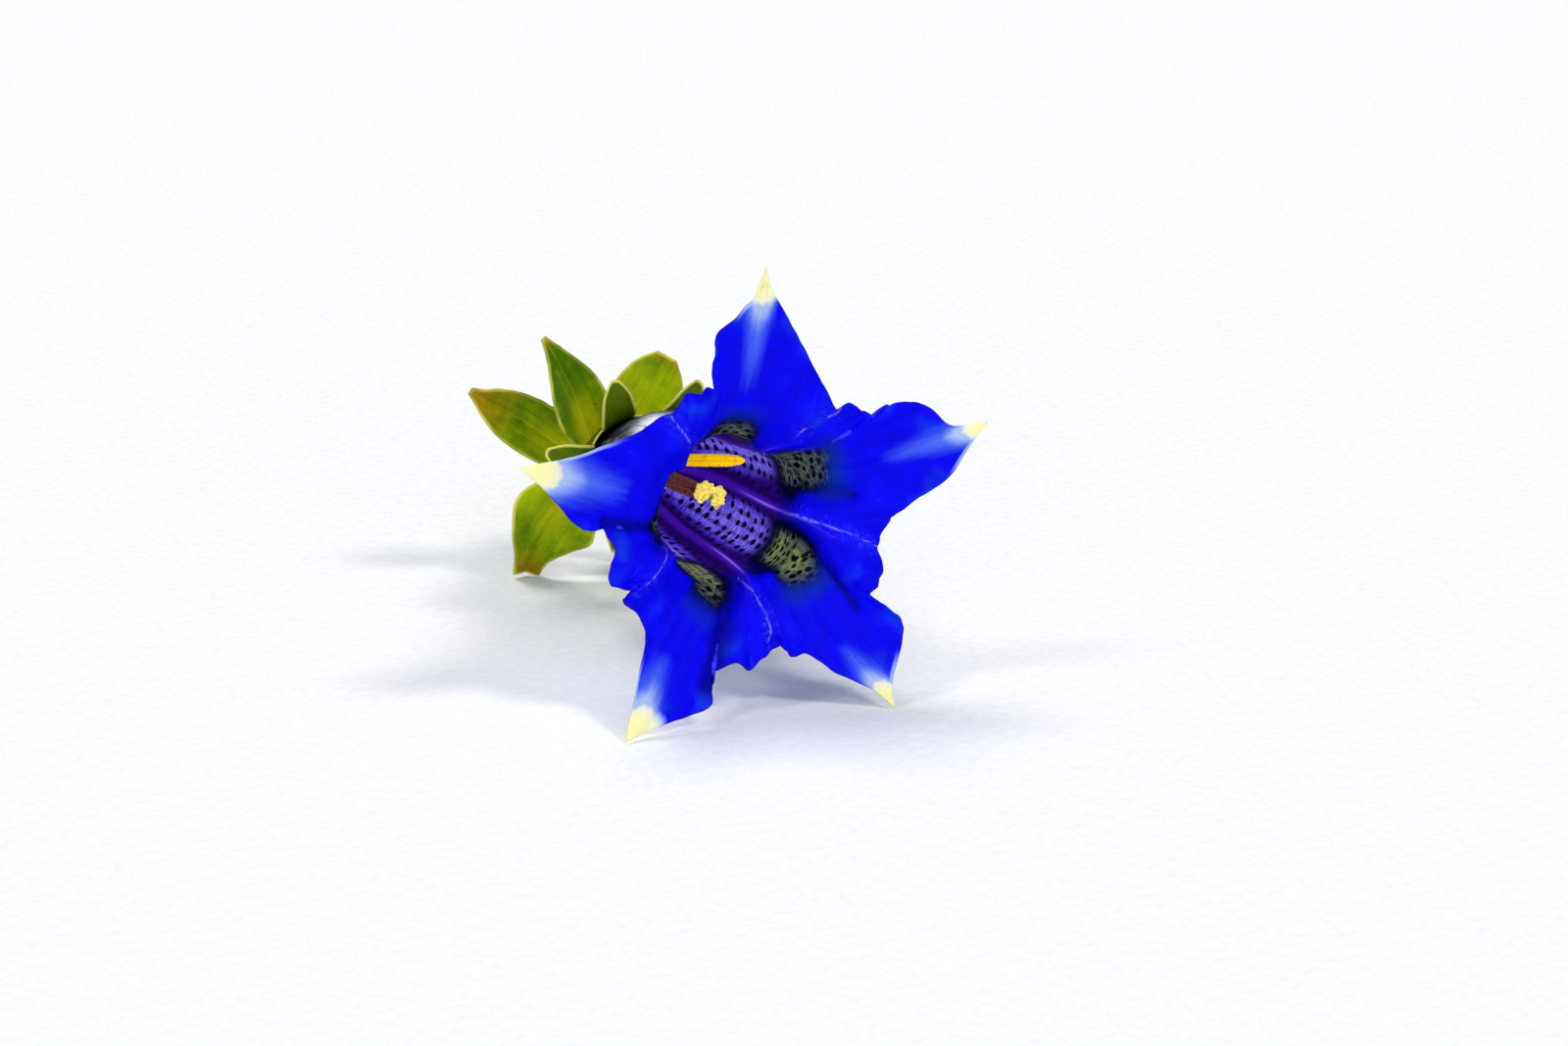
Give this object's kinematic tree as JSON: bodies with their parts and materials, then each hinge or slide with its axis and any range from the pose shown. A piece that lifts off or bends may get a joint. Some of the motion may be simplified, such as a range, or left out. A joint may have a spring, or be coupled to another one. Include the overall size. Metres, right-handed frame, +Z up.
{
  "type": "gentian",
  "caption": "Picked trumpet gentian lying on its side, with a star-shaped mouth, a ribbed tube, a green calyx cup and leaves on a short stem.",
  "frame": {"origin": "on the resting surface, under the middle of the flower's box", "axes": "+Z up, the mouth looks towards -Y and the stem end lies towards +Y, +X to the right as seen from the front"},
  "size_m": [0.0486, 0.058, 0.0456],
  "materials": {
    "petal": "matte",
    "calyx": "satin",
    "leaf": "satin",
    "stem": "satin",
    "anther": "matte",
    "pistil": "matte"
  },
  "bodies": {
    "root": {"corolla": "petal", "calyx": "calyx", "stem": "stem", "leaf_1": "leaf", "leaf_2": "leaf", "leaf_3": "leaf", "leaf_4": "leaf", "leaf_5": "leaf", "leaf_6": "leaf", "stamen_1": "anther", "stamen_2": "anther", "stamen_3": "anther", "stamen_4": "anther", "stamen_5": "anther", "pistil": "pistil"}
  },
  "joints": []
}
